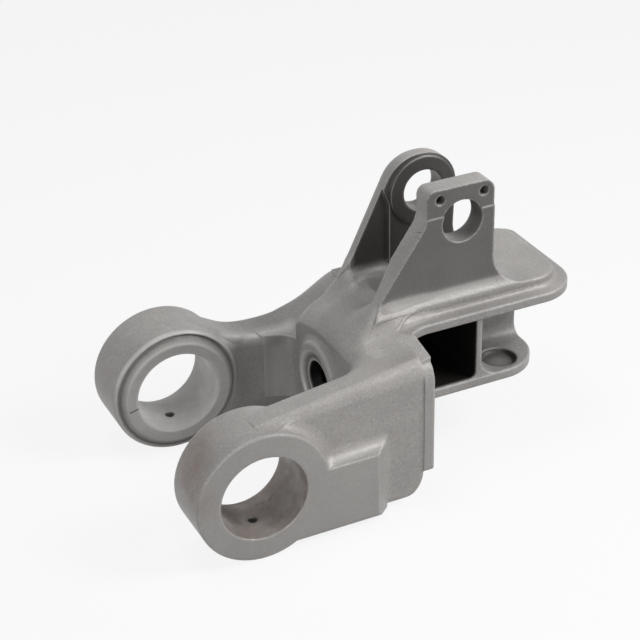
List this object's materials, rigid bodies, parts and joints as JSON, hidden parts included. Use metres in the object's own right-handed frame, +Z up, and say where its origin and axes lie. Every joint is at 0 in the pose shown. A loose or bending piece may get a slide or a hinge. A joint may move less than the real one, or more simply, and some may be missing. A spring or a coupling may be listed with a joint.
{
  "type": "cast clevis bracket",
  "caption": "One-piece cast steel bracket: two wide eyes on arms, a hollow body, a padded top flange, a lower flange and two upright ears with a cross bore.",
  "frame": {"origin": "on the common axis of the two large eye bores, midway between the eyes", "axes": "+Y along the eye bores, from the near eye to the far eye; +X from the eyes to the flanges; +Z up, square to the top flange"},
  "size_m": [0.3075, 0.1848, 0.2008],
  "materials": {
    "cast_steel": "shot-blasted as-cast steel, with machined bores and faces"
  },
  "bodies": {
    "root": {"bracket": "cast_steel"}
  },
  "joints": []
}
